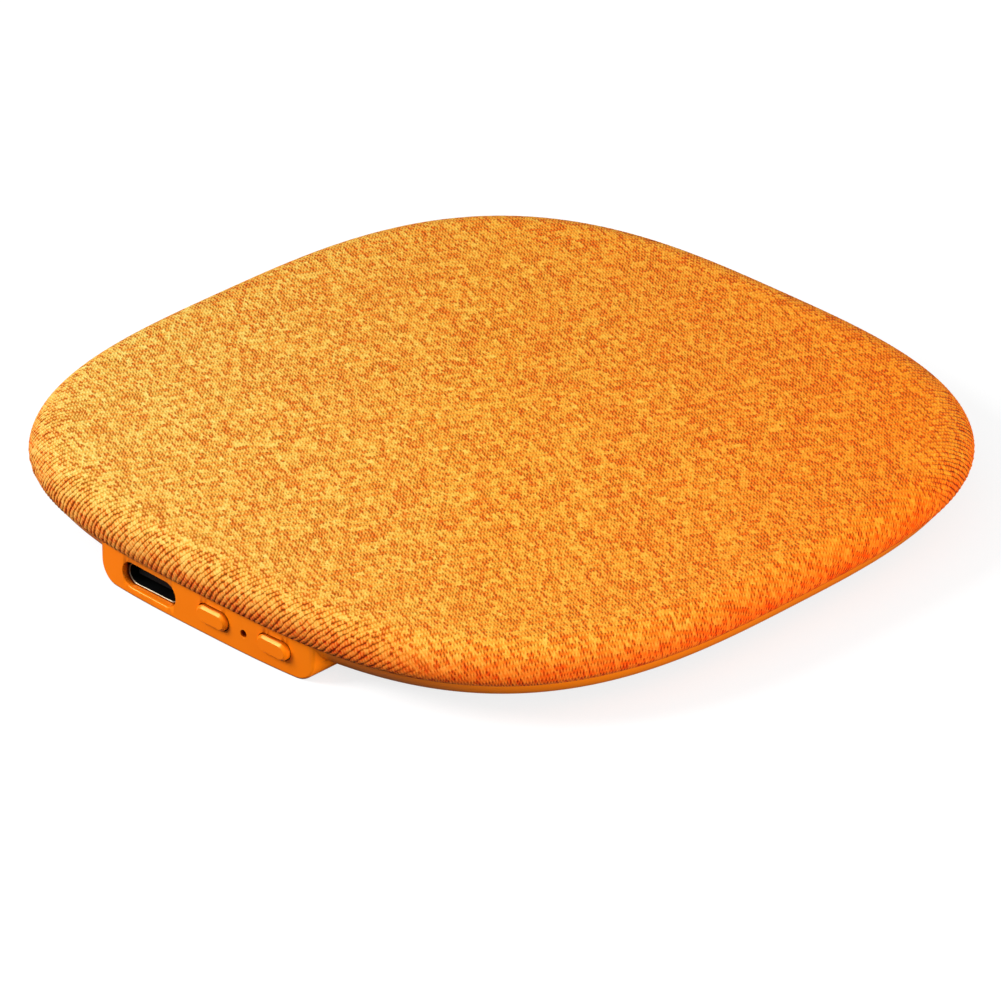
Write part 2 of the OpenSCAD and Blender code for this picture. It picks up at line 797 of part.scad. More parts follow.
// Driver frame: a flange with ears, a sloping basket with windows and a ring round the yoke
module driver_frame() {
    wall_r = driver_r - wall_in;
    ring_top = basket_low + basket_t;
    color([0.2, 0.2, 0.21]) translate([0, driver_y, 0]) {
        difference() {
            rotate_extrude() polygon([
                [driver_r - driver_rim, rim_top], [driver_r, rim_top],
                [driver_r, rim_low], [wall_r, rim_low],
                [basket_r, basket_low], [yoke_r + fit_gap, basket_low], [yoke_r + fit_gap, ring_top],
                [basket_r - basket_in, ring_top], [driver_r - driver_rim, rim_low]
            ]);
            for (i = [0:5]) rotate(60 * i + 30) translate([basket_r - 0.5, -window_w / 2, ring_top + e])
                cube([driver_r, window_w, rim_low - ring_top - 0.1]);
        }
        difference() {
            translate([0, -driver_y, rim_low]) at_ears() cylinder(r = ear_r, h = driver_rim_t);
            translate([0, 0, rim_low - e])
                cylinder(r = driver_r - 0.4, h = driver_rim_t + 2 * e);
            translate([0, -driver_y, rim_low - e]) at_ears()
                cylinder(d = screw_hole_d, h = driver_rim_t + 2 * e);
        }
        block(tab_x, -driver_r - bay_gap * 0.6, rim_low, [tab_w, tab_l, driver_rim_t]);
    }
}

// Steel cup that carries the magnet
module driver_yoke() {
    color([0.72, 0.73, 0.75]) translate([0, driver_y, yoke_z]) difference() {
        cylinder(r = yoke_r, h = yoke_top - yoke_z);
        translate([0, 0, yoke_floor_t]) cylinder(r = yoke_in, h = yoke_top);
    }
}
module driver_magnet() {
    low = yoke_z + yoke_floor_t;
    color([0.5, 0.5, 0.52]) translate([0, driver_y, low])
        cylinder(r = pole_r - magnet_in, h = yoke_top - pole_t - low);
}
module driver_pole_plate() {
    color([0.72, 0.73, 0.75]) translate([0, driver_y, yoke_top - pole_t])
        cylinder(r = pole_r, h = pole_t);
}

// Voice coil in the gap between the pole plate and the yoke
module driver_voice_coil() {
    color([0.72, 0.35, 0.15]) translate([0, driver_y, coil_low]) difference() {
        cylinder(r = coil_out, h = coil_top - coil_low);
        translate([0, 0, -e]) cylinder(r = coil_in, h = coil_top);
    }
}

// Cone with a domed middle, standing on the coil
module driver_cone() {
    dome_h = 0.5;
    dome_r = (pow(coil_out, 2) + pow(dome_h, 2)) / (2 * dome_h);
    dome = [for (i = [0:8]) let (r = coil_out * i / 8)
        [r, coil_top + dome_h - dome_r + sqrt(pow(dome_r, 2) - r * r)]];
    edge = [[cone_r - 0.7, rim_top - cone_t], [cone_r, rim_top - cone_t]];
    under = concat(dome, edge);
    color([0.13, 0.13, 0.14]) translate([0, driver_y, 0]) rotate_extrude()
        polygon(concat(under, [for (p = reversed(under)) [p[0], p[1] + cone_t]]));
}

// Rolled surround between the cone's edge and the flange
module driver_surround() {
    land = 0.9;
    in_r = cone_r;
    out_r = driver_r - driver_rim;
    mid = (in_r + out_r) / 2;
    roll = [for (i = [0:12]) let (a = 180 - 15 * i)
        [mid + (out_r - mid) * cos(a), rim_top + fit_gap + roll_h * sin(a)]];
    under = concat([[in_r - 0.6, rim_top + fit_gap]], roll, [[out_r + land, rim_top + fit_gap]]);
    color([0.1, 0.1, 0.1]) translate([0, driver_y, 0]) rotate_extrude()
        polygon(concat(under, [for (p = reversed(under)) [p[0], p[1] + surround_t - fit_gap]]));
}
module driver_gasket() {
    color([0.25, 0.25, 0.25]) translate([0, driver_y, rim_top]) difference() {
        cylinder(r = driver_r, h = gasket_t);
        translate([0, 0, -e]) cylinder(r = driver_r - driver_rim + 1, h = gasket_t + 2 * e);
    }
}

// Leads from the board to the driver's terminals
module driver_leads() {
    d = lead_d * 0.8;
    for (i = [0, 1]) {
        x = -6.6 + 2.2 * i;
        low = board_top + d / 2 + fit_gap;
        high = rim_top + d / 2 + fit_gap;
        route = [
            [x, board_back - 1.4, low], [x, board_back - 0.6, low], [x, board_back + 0.2, high],
            [x, board_back + bay_gap * 0.6 + 0.8, high]
        ];
        color(i == 0 ? "firebrick" : "black") tube(smooth(smooth(route)), d);
    }
}

base_housing();
top_cover();
foam_pad();
fabric_cover();
button_up();
button_down();
switch_up();
switch_up_plunger();
switch_down();
switch_down_plunger();
microphone_boot();
microphone_capsule();
circuit_board();
usb_shell();
usb_tongue();
radio_module();
board_chips();
board_screws();
battery_header();
battery_plug();
battery_leads();
battery_guard();
battery_tape();
battery_cell();
driver_frame();
driver_yoke();
driver_magnet();
driver_pole_plate();
driver_voice_coil();
driver_cone();
driver_surround();
driver_gasket();
driver_leads();
driver_screws();
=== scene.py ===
"""Looks of the pillow speaker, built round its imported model.

Lengths are in millimetres until a mesh is made. Materials and lamps are in metres.
"""
import json
import math

import bmesh
import bpy
import numpy as np
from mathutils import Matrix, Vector


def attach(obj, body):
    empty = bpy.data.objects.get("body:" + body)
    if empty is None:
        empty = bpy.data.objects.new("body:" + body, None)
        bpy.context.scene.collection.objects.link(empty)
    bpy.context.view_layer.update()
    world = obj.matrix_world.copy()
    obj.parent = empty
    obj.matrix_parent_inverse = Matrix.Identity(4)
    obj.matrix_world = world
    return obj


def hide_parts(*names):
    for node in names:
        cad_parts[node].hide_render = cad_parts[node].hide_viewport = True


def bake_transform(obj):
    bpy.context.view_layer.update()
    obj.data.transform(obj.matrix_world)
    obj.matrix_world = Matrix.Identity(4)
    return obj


MM = 0.001

# Outline and section of the body, as in the model
HALF = 51.5
OUTLINE_POWER = 3.05
RIM_R = 6.1
RIM_LEAN = math.radians(24)
RIM_INSET = 0.8
SHELL_WALL = 1.1
BASE_Z = 1.6
ROOM_H = 4.55
COVER_WALL = 1.2
FOAM_T = 0.6
FABRIC_T = 0.5
SKIN_GAP = 0.1
CROWN_H = 0.6
EDGE_W = 4.6
BULGE_H = 0.8
HEM_W = 1.4
FIT_GAP = 0.05
RIM_MID = RIM_INSET + RIM_R * math.cos(RIM_LEAN)
SEAM_Z = BASE_Z + RIM_R * (1 - math.sin(RIM_LEAN))
PLATE_TOP = BASE_Z + SHELL_WALL + ROOM_H + COVER_WALL
PLATEAU_Z = PLATE_TOP + FOAM_T + SKIN_GAP + FABRIC_T
HEM_Z = SEAM_Z + FIT_GAP
WIDE_Z = HEM_Z + BULGE_H
CUT_TOP = SEAM_Z + 2
# Small step that keeps two faces apart where solids are joined
STEP = 0.02

# Pod and its openings, as in the model
POD_W = 36.8
POD_BACK = 34.0
POD_R = 2.8
FRONT_WALL = 1.65
CAVITY_Y = RIM_INSET + FRONT_WALL - HALF
POD_EDGE_R = 0.35
USB_W, USB_H, USB_WALL, USB_L = 8.94, 3.16, 0.22, 7.3
USB_FLOOR_GAP = 0.15
USB_X = -9.4
USB_Z = SHELL_WALL + USB_FLOOR_GAP + USB_H / 2
USB_RECESS = 0.95
USB_BACK_ROUND = 0.25
LEG_PLACES = (1.4, 5.2)
LEG_L, LEG_H, LEG_SINK = 1.1, 1.1, 0.1
SLOT_W, SLOT_H = 9.6, 3.3
MIC_HOLE_D = 1.0
SLOT_ROUND, BUTTON_ROUND, MIC_ROUND = 0.28, 0.07, 0.08
BUTTON_RISE = 0.25
BUTTON_Z = USB_Z + BUTTON_RISE
BUTTON_W, BUTTON_H = 5.1, 2.3
BUTTON_PROUD = 0.65
BUTTON_GAP = 0.14
BUTTON_PITCH = 10.2
BUTTON_INSET = 6.15
BUTTON_2_X = POD_W / 2 - BUTTON_INSET
BUTTON_X = BUTTON_2_X - BUTTON_PITCH
# Edge of a button as (depth behind its front, growth) steps
BUTTON_EDGE = ((0.0, -0.31), (0.26, -0.05), (0.33, 0.0))
FLANGE_LIP, FLANGE_T, FLANGE_ROUND = 0.4, 0.6, 0.05
STEM_W, STEM_H, STEM_L, STEM_SINK = 1.8, 1.3, 0.9, 0.01

# Cutters of the housing: how far a mouth stands out and flares, how deep it goes behind the wall, and how far
# the hollows that pick out the model's own ribs grow into the walls
MOUTH_OUT, MOUTH_FLARE, MOUTH_DEEP = 1.2, 0.8, 1.5
INSIDE_GROW = 0.3
MERGE_M = 1e-7

# Rolled ring of the driver, as in the model, and the sectors that it is drawn in
ROLL_IN, ROLL_OUT, ROLL_H, ROLL_T = 11.5, 13.4, 0.5, 0.25
ROLL_LIP, ROLL_LAND = 0.6, 0.9
SECTORS = 12

# Knit: reciprocal spacing of the wales and the courses along the fabric, in turns per millimetre
WALE_TURNS = (1.13, -0.56)
COURSE_TURNS = (0.92, 2.30)
WALE_DEPTH = (0.03, 0.12)
WALE_STEP, COURSE_STEP = 0.25, 2.0
GRID_MARGIN = 1.02
# The ribs open over the last millimetres before the hem, where the wales run over the edge
RIB_START, RIB_SPAN, RIB_POWER = 15, 14, 1.7
OVER_START, OVER_SPAN = 0.45, 0.4
HEM_FADE = 0.8
# Section of the fabric: points on the top, the shoulder and the tuck below its widest line
TOP_STEPS, UPPER_STEPS, LOWER_STEPS = 199, 40, 20
WIDEST = TOP_STEPS + UPPER_STEPS - 1
BULGE_POWER = 1.3
HEM_DROP = 0.22
HEM_TURN = 0.55
FOAM_INSET = EDGE_W + 0.6
FOAM_ROUND = 0.12

# Colours of the knit, as (position, colour) stops or a colour: the yarn, a painted highlight on the stitch
# crests, painted shade in the gaps between stitches, painted light across the part and painted shade down its
# flank
YARN = (
    (0.30, (0.84, 0.17, 0.012)), (0.44, (0.85, 0.29, 0.030)), (0.56, (0.88, 0.43, 0.065)),
    (0.70, (0.95, 0.62, 0.15)), (0.84, (1.0, 0.80, 0.30)))
CREST_HIGHLIGHT = (1.0, 0.74, 0.24)
GAP_SHADE = (0.26, 0.20, 0.10)
PAINTED_LIGHT_ACROSS = ((0.08, (0.85, 1.0, 1.0)), (0.5, (0.92, 0.76, 0.38)), (0.92, (1.0, 0.57, 0.13)))
FLANK_SHADE = (0.88, 0.36, 0.22)
# Sizes of the yarn's fluff, flecks and clouds of colour, as noise scales per metre
FLUFF_SCALE = 6500.0
FLECK_SCALE, CLOUD_SCALE = 1350.0, 330.0
# Painted light and shade on the knit: across the part, per metre, and in metres up its flank and to its near
# corner
DIAGONAL = 0.7071
ACROSS_SCALE = 8.6
FLANK_FROM, FLANK_TO = 0.0060, 0.0102
CORNER_FROM, CORNER_TO = 0.0, 0.05

# Finishes by material slot: name, dark and light colour, roughness, and then the shine or the drawing lines
PLASTICS = {
    "dark_plastic": ("black plastic", (0.003, 0.003, 0.003), (0.007, 0.007, 0.008), 0.6, 0.1),
    "light_plastic": ("ivory plastic", (0.66, 0.63, 0.55), (0.76, 0.74, 0.67)),
    "soft_rubber": ("soft rubber", (0.012, 0.012, 0.012), (0.022, 0.022, 0.022), 0.75, 0.3),
    "lead_plastic": ("wire insulation", (0.30, 0.015, 0.012), (0.42, 0.02, 0.015), 0.35),
    "tape": ("tape", (0.72, 0.72, 0.70), (0.80, 0.80, 0.78), 0.7),
    "cone_paper": ("cone", (0.018, 0.018, 0.018), (0.032, 0.032, 0.033), 0.6),
}
METALS = {
    "bright_steel": ("bright steel", (0.27, 0.22, 0.15), (0.39, 0.33, 0.23), 0.45),
    "plated_steel": ("nickel plate", (0.45, 0.45, 0.44), (0.60, 0.59, 0.57), 0.32, (300.0, 300.0, 300.0)),
    "pouch": ("foil pouch", (0.55, 0.56, 0.58), (0.68, 0.69, 0.70), 0.45, (500.0, 500.0, 500.0)),
    "copper": ("enamelled wire", (0.50, 0.16, 0.05), (0.68, 0.26, 0.09), 0.3, (60.0, 60.0, 6000.0)),
}
# Near-black metal for the socket's inside, as painted shade
SOCKET_SHADE = ("nickel in painted shade", (0.008, 0.008, 0.008), (0.02, 0.02, 0.02), 0.6)

# Photograph
PHOTO_PX = 1001
FOCAL_PX = 8358.7
CAMERA_AZIMUTH = math.radians(44.823)
CAMERA_ELEVATION = math.radians(28.961)
CAMERA_DISTANCE = 1028.2
ORIGIN_PX = (501.64, 487.48)
SENSOR_W = 36
CLIP_M = (0.01, 20)

# Studio: half the floor's width, its grey and its glow for the camera, its grey for all else, the world's
# strength from low to high, and the lamps as (place, width, power)
FLOOR_HALF = 6000
FLOOR_SEEN, FLOOR_GLOW, FLOOR_UNSEEN = 0.26, 0.77, 0.09
SKY_LOW, SKY_HIGH = 0.10, 0.62
LAMPS = {
    "key": ((-0.28, -0.34, 0.28), 0.26, 3.2),
    "side": ((0.50, -0.02, 0.10), 0.20, 2.8),
}


def reach(angle):
    """Distance to the outline at an angle, where the side's middle is at 1."""
    c, s = np.abs(np.cos(angle)), np.abs(np.sin(angle))
    return (c ** OUTLINE_POWER + s ** OUTLINE_POWER) ** (-1 / OUTLINE_POWER)


def face_y(x):
    """The pod's face at a place along it."""
    a = HALF - RIM_INSET
    return -a * (1 - (np.abs(x) / a) ** OUTLINE_POWER) ** (1 / OUTLINE_POWER)


def new_object(name, points, faces):
    """A mesh object from points in millimetres."""
    mesh = bpy.data.meshes.new(name)
    mesh.from_pydata((np.asarray(points, float) * MM).tolist(), [], [[int(i) for i in f] for f in faces])
    mesh.update()
    made = bpy.data.objects.new(name, mesh)
    bpy.context.scene.collection.objects.link(made)
    return made


def piece_of(made, body, slot, *materials):
    """Makes an object a smooth piece of the part, riding on a body."""
    made.data.shade_smooth()
    for material in materials:
        made.data.materials.append(material)
    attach(made, body)
    return made


def loft(rings, caps=True):
    """Points and faces of a closed skin through rings with the same number of points."""
    count = len(rings[0])
    points = np.concatenate(rings)
    faces = []
    for j in range(len(rings) - 1):
        for i in range(count):
            a, b, k = j * count, (j + 1) * count, (i + 1) % count
            faces.append((a + i, a + k, b + k, b + i))
    if caps:
        last = (len(rings) - 1) * count
        faces += [tuple(range(count))[::-1], tuple(range(last, last + count))]
    return points, faces


def outline_ring(inset, z, steps=480):
    """A ring of the body's outline, counter-clockwise seen from above."""
    angle = np.arange(steps) * 2 * math.pi / steps
    r = (HALF - inset) * reach(angle)
    return np.stack([r * np.cos(angle), r * np.sin(angle), np.full(steps, float(z))], 1)


def stadium(w, h, steps=24):
    """A flat shape with round ends in X and Z, counter-clockwise seen from the front."""
    a = np.radians(np.linspace(-90, 90, steps))
    right = np.stack([(w - h) / 2 + h / 2 * np.cos(a), h / 2 * np.sin(a)], 1)
    return np.concatenate([right, -right])


def along_y(shape, y):
    """A shape in X and Z placed at a Y, given as a number or one for each point."""
    return np.stack([shape[:, 0], np.broadcast_to(y, len(shape)), shape[:, 1]], 1)


def rod(w, h, stations, steps=24):
    """Points and faces of a rod along Y, as (y, growth) stations from back to front."""
    return loft([along_y(stadium(w + 2 * g, h + 2 * g, steps), y) for y, g in stations])


# Node helpers for the materials
def add(tree, kind, inputs=None, **settings):
    made = tree.nodes.new(kind)
    for key, value in settings.items():
        setattr(made, key, value)
    for key, value in (inputs or {}).items():
        if isinstance(value, bpy.types.NodeSocket):
            tree.links.new(value, made.inputs[key])
        else:
            made.inputs[key].default_value = value
    return made


def maths(tree, operation, *values):
    made = add(tree, "ShaderNodeMath", dict(enumerate(values)), operation=operation)
    return made.outputs[0]


def total(tree, *terms):
    """Sum of (weight, value) terms."""
    result = 0.0
    for weight, value in terms:
        result = maths(tree, "MULTIPLY_ADD", value, weight, result)
    return result


def noise(tree, place, scale, detail=2.0, roughness=0.5):
    inputs = {"Vector": place, "Scale": scale, "Detail": detail, "Roughness": roughness}
    return add(tree, "ShaderNodeTexNoise", inputs).outputs["Fac"]


def between(tree, value, low, high, first, second):
    """A value carried smoothly from one range to another."""
    inputs = {"Value": value, "From Min": low, "From Max": high, "To Min": first, "To Max": second}
    return add(tree, "ShaderNodeMapRange", inputs, interpolation_type="SMOOTHSTEP").outputs["Result"]


def ramp(tree, value, *stops):
    """Colours along a value, as (position, colour) stops."""
    made = add(tree, "ShaderNodeValToRGB", {"Fac": value})
    elements = made.color_ramp.elements
    while len(elements) < len(stops):
        elements.new(0.5)
    for element, (position, colour) in zip(elements, stops):
        element.position = position
        element.color = (*colour, 1)
    return made.outputs["Color"]


def blend(tree, factor, first, second, mode="MIX"):
    made = add(tree, "ShaderNodeMix", data_type="RGBA", blend_type=mode)
    for socket, value in ((made.inputs[0], factor), (made.inputs[6], first), (made.inputs[7], second)):
        if isinstance(value, bpy.types.NodeSocket):
            tree.links.new(value, socket)
        elif isinstance(value, tuple):
            socket.default_value = (*value, 1)
        else:
            socket.default_value = value
    return made.outputs[2]


def surface(name, settings):
    """A new material with its surface shader, and its tree."""
    made = bpy.data.materials.new(name)
    made.use_nodes = True
    tree = made.node_tree
    shader = tree.nodes["Principled BSDF"]
    for key, value in settings.items():
        shader.inputs[key].default_value = value
    return made, tree, shader


def connect(tree, shader, **outputs):
    for key, value in outputs.items():
        tree.links.new(value, shader.inputs[key.replace("_", " ")])


def bumped(tree, height, distance, strength=1.0):
    inputs = {"Height": height, "Distance": distance, "Strength": strength}
    return add(tree, "ShaderNodeBump", inputs).outputs["Normal"]


def object_place(tree):
    return add(tree, "ShaderNodeTexCoord").outputs["Object"]


def across_place(tree, place, direction):
    """How far a place lies along a direction."""
    inputs = {0: place, 1: direction}
    return add(tree, "ShaderNodeVectorMath", inputs, operation="DOT_PRODUCT").outputs["Value"]


def knit_material():
    """Heathered jersey: a lattice of stitches in mixed yarn, opening into ribs where it is stretched.

    The mesh's stitch attribute gives the wale, the course and how far the ribs are open."""
    made, tree, shader = surface("heathered knit", {
        "Roughness": 0.9, "Specular IOR Level": 0.06, "Sheen Weight": 0.08, "Sheen Roughness": 0.4,
        "Sheen Tint": (1.0, 0.75, 0.35, 1)})
    stitch = add(tree, "ShaderNodeAttribute", attribute_name="stitch")
    split = add(tree, "ShaderNodeSeparateXYZ", {"Vector": stitch.outputs["Vector"]})
    wale, course, open_rib = split.outputs
    place = object_place(tree)

    def jitter(amount, scale, seed):
        inputs = {0: place, 1: (seed, seed * 0.7, 0.0)}
        moved = add(tree, "ShaderNodeVectorMath", inputs, operation="ADD").outputs[0]
        return maths(tree, "MULTIPLY", maths(tree, "SUBTRACT", noise(tree, moved, scale), 0.5), amount)

    wale = total(tree, (1.0, wale), (1.0, jitter(0.9, 800.0, 0.3)), (1.0, jitter(1.2, 130.0, 0.7)))
    course = total(tree, (1.0, course), (1.0, jitter(0.9, 800.0, 1.9)), (1.0, jitter(1.2, 130.0, 2.3)))

    def wave(turns):
        return maths(tree, "COSINE", maths(tree, "MULTIPLY", turns, 2 * math.pi))

    ribs = maths(tree, "MULTIPLY", wave(wale), between(tree, open_rib, 0.0, 1.0, 0.14, 1.0))
    gaps = wave(maths(tree, "MULTIPLY", wale, 2.0))
    gaps = maths(tree, "MULTIPLY", gaps, between(tree, open_rib, 0.0, 1.0, 0.0, -0.4))
    loops = maths(tree, "ADD", wave(course), wave(maths(tree, "ADD", wale, course)))
    loops = maths(tree, "MULTIPLY", loops, between(tree, open_rib, 0.0, 1.0, 0.52, 0.40))
    cell = add(tree, "ShaderNodeCombineXYZ", {
        "X": maths(tree, "FLOOR", wale), "Y": maths(tree, "FLOOR", course)}).outputs["Vector"]
    each = add(tree, "ShaderNodeTexWhiteNoise", {"Vector": cell}, noise_dimensions="2D").outputs["Value"]
    fluff = noise(tree, place, FLUFF_SCALE, 2.0, 0.6)
    lattice = total(tree, (1.0, ribs), (1.0, gaps), (1.0, loops), (0.7, each), (1.0, fluff))
    lattice = maths(tree, "SUBTRACT", lattice, 0.85)

    flecks = noise(tree, place, FLECK_SCALE, 2.0, 0.6)
    clouds = noise(tree, place, CLOUD_SCALE, 3.0, 0.6)
    heather = total(tree, (0.64, flecks), (0.26, clouds), (0.26, each))
    heather = maths(tree, "SUBTRACT", heather, 0.09)
    # Painted highlight and shade: the stitch crests are lightened towards yellow and the gaps between
    # stitches are darkened, from the same lattice that raises the bump
    crest_highlight = between(tree, lattice, 0.1, 1.2, 0.0, 0.5)
    colour = blend(tree, crest_highlight, ramp(tree, heather, *YARN), CREST_HIGHLIGHT)
    gap_shade = between(tree, lattice, -0.15, -1.25, 0.0, 1.0)
    colour = blend(tree, gap_shade, colour, GAP_SHADE, "MULTIPLY")

    # Painted light and shade: the knit is made pale on the left and deep orange on the right, and painted
    # shade makes it redder down its flank, most at the near corner
    right = across_place(tree, place, (DIAGONAL, DIAGONAL, 0.0))
    right = maths(tree, "MULTIPLY_ADD", right, ACROSS_SCALE, 0.5)
    colour = blend(tree, 1.0, colour, ramp(tree, right, *PAINTED_LIGHT_ACROSS), "MULTIPLY")
    height = add(tree, "ShaderNodeSeparateXYZ", {"Vector": place}).outputs["Z"]
    corner = across_place(tree, place, (DIAGONAL, -DIAGONAL, 0.0))
    corner = between(tree, corner, CORNER_FROM, CORNER_TO, 0.72, 1.0)
    shaded = maths(tree, "MULTIPLY", between(tree, height, FLANK_FROM, FLANK_TO, 1.0, 0.0), corner)
    colour = blend(tree, shaded, colour, FLANK_SHADE, "MULTIPLY")
    relief = total(tree, (0.5, lattice), (0.5, fluff))
    connect(tree, shader, Base_Color=colour, Normal=bumped(tree, relief, 0.00008, 0.8))
    return made


def satin_plastic():
    """Moulded orange plastic with a fine spark-eroded grain and painted shade in its hollows."""
    made, tree, shader = surface("satin orange", {
        "Specular IOR Level": 0.75, "Specular Tint": (1.0, 0.66, 0.16, 1)})
    place = object_place(tree)
    tint = noise(tree, place, 60.0, 3.0)
    colour = ramp(tree, tint, (0.3, (0.94, 0.186, 0.0015)), (0.7, (0.97, 0.212, 0.002)))
    # Painted shade: the colour is darkened towards red-brown where a point is closed in by nearby surfaces
    open_air = add(tree, "ShaderNodeAmbientOcclusion", {"Distance": 0.0022}).outputs["AO"]
    hollow_shade = between(tree, open_air, 0.20, 0.64, 1.0, 0.0)
    colour = blend(tree, hollow_shade, colour, (0.26, 0.10, 0.08), "MULTIPLY")
    grain = noise(tree, place, 9000.0, 2.0)
    rough = maths(tree, "MULTIPLY_ADD", noise(tree, place, 300.0, 3.0), 0.12, 0.26)
    connect(tree, shader, Base_Color=colour, Roughness=rough, Normal=bumped(tree, grain, 0.00001, 0.35))
    return made


def plain_plastic(name, dark, light, rough=0.5, shine=0.4):
    made, tree, shader = surface(name, {"Specular IOR Level": shine})
    place = object_place(tree)
    colour = ramp(tree, noise(tree, place, 200.0, 3.0), (0.3, dark), (0.7, light))
    shade = maths(tree, "MULTIPLY_ADD", noise(tree, place, 500.0, 3.0), 0.2, rough - 0.1)
    grain = bumped(tree, noise(tree, place, 8000.0), 0.00001, 0.3)
    connect(tree, shader, Base_Color=colour, Roughness=shade, Normal=grain)
    return made


def metal(name, dark, light, rough=0.25, lines=(40.0, 40.0, 2500.0)):
    """Metal with fine drawing lines, closest along the axis with the highest number."""
    made, tree, shader = surface(name, {"Metallic": 1.0})
    inputs = {"Vector": object_place(tree), "Scale": lines}
    stretched = add(tree, "ShaderNodeMapping", inputs).outputs["Vector"]
    streak = noise(tree, stretched, 1.0, 3.0, 0.6)
    shade = maths(tree, "MULTIPLY_ADD", streak, 0.2, rough - 0.1)
    colour = ramp(tree, streak, (0.3, dark), (0.7, light))
    connect(tree, shader, Base_Color=colour, Roughness=shade, Normal=bumped(tree, streak, 0.000005, 0.3))
    return made


def foam_material():
    made, tree, shader = surface("open cell foam", {"Roughness": 0.95, "Specular IOR Level": 0.1})
    cells = add(tree, "ShaderNodeTexVoronoi", {"Vector": object_place(tree), "Scale": 2600.0})
    colour = ramp(tree, cells.outputs["Distance"], (0.0, (0.008, 0.008, 0.009)), (0.5, (0.05, 0.05, 0.055)))
    connect(tree, shader, Base_Color=colour, Normal=bumped(tree, cells.outputs["Distance"], 0.0002, 0.8))
    return made


def board_material():
    """Green solder mask with faint copper tracks under it."""
    made, tree, shader = surface("solder mask", {"Roughness": 0.28, "Specular IOR Level": 0.5})
    cells = add(tree, "ShaderNodeTexVoronoi", {"Vector": object_place(tree), "Scale": 900.0},
                distance="MANHATTAN", feature="F1")
    track = ramp(tree, cells.outputs["Distance"], (0.40, (0.008, 0.085, 0.035)), (0.46, (0.02, 0.15, 0.06)))
    connect(tree, shader, Base_Color=track, Normal=bumped(tree, cells.outputs["Distance"], 0.00002, 0.2))
    return made


def body_section():
    """The fabric's outer section from the middle of the top to the hem, as [inset, height] points."""
    s = np.linspace(0, 1, TOP_STEPS + 1)[:-1]
    top = np.stack([HALF - s * (HALF - EDGE_W), PLATEAU_Z + CROWN_H * (1 - s * s) ** 2], 1)
    a = np.radians(np.linspace(90, 0, UPPER_STEPS))
    upper = np.stack([EDGE_W * (1 - np.cos(a)), WIDE_Z + (PLATEAU_Z - WIDE_Z) * np.sin(a)], 1)
    a = np.radians(np.linspace(0, 90, LOWER_STEPS))[1:]
    bend = 2 / BULGE_POWER
    lower = np.stack([RIM_INSET * (1 - np.cos(a) ** bend), WIDE_Z - BULGE_H * np.sin(a) ** bend], 1)
    return np.concatenate([top, upper, lower])


def along(section):
    """Length along a section at each of its points."""
    return np.concatenate([[0], np.cumsum(np.hypot(*np.diff(section, axis=0).T))])


def hem_height(angle, share):
    """How far the fabric's edge is drawn down towards the corners."""
    return -HEM_DROP * share * np.sin(2 * angle) ** 2


def on_section(section, lengths, u, v):
    """Points of the surface that lie u across and v along the fabric from the middle of the top."""
    angle = np.arctan2(v, u)
    length = np.hypot(u, v) / reach(angle)
    radius = (HALF - np.interp(length, lengths, section[:, 0])) * reach(angle)
    below = np.clip((length - lengths[WIDEST]) / (lengths[-1] - lengths[WIDEST]), 0, 1)
    height = np.interp(length, lengths, section[:, 1]) + hem_height(angle, below)
    return np.stack([radius * np.cos(angle), radius * np.sin(angle), height], -1)


def stretch_over_edge(u, v, edge):
    """How far the ribs are drawn open: most where the wales run over the edge."""
    angle = np.arctan2(v, u)
    left = edge - np.hypot(u, v) / reach(angle)
    out = np.stack([np.sign(w) * np.abs(w) ** (OUTLINE_POWER - 1) for w in (u, v)], -1)
    out /= np.maximum(np.linalg.norm(out, axis=-1, keepdims=True), 1e-9)
    wale = np.array([-WALE_TURNS[1], WALE_TURNS[0]]) / math.hypot(*WALE_TURNS)
    over = np.abs(out @ wale)
    near = np.clip((RIB_START - left) / RIB_SPAN, 0, 1) ** RIB_POWER
    run = np.clip((over - OVER_START) / OVER_SPAN, 0, 1)
    return near * run * run * (3 - 2 * run)


def boundary(quads):
    """The open edge of a grid of quads, in order."""
    starts = quads.ravel()
    ends = np.roll(quads, -1, axis=1).ravel()
    known = set(zip(ends.tolist(), starts.tolist()))
    follow = {a: b for a, b in zip(starts.tolist(), ends.tolist()) if (a, b) not in known}
    loop = [next(iter(follow))]
    while follow[loop[-1]] != loop[0]:
        loop.append(follow[loop[-1]])
    return loop


def spread(limit, step):
    """Places a step apart that pass a limit on both sides of zero."""
    count = math.ceil(limit / step)
    return np.arange(-count, count + 1) * step


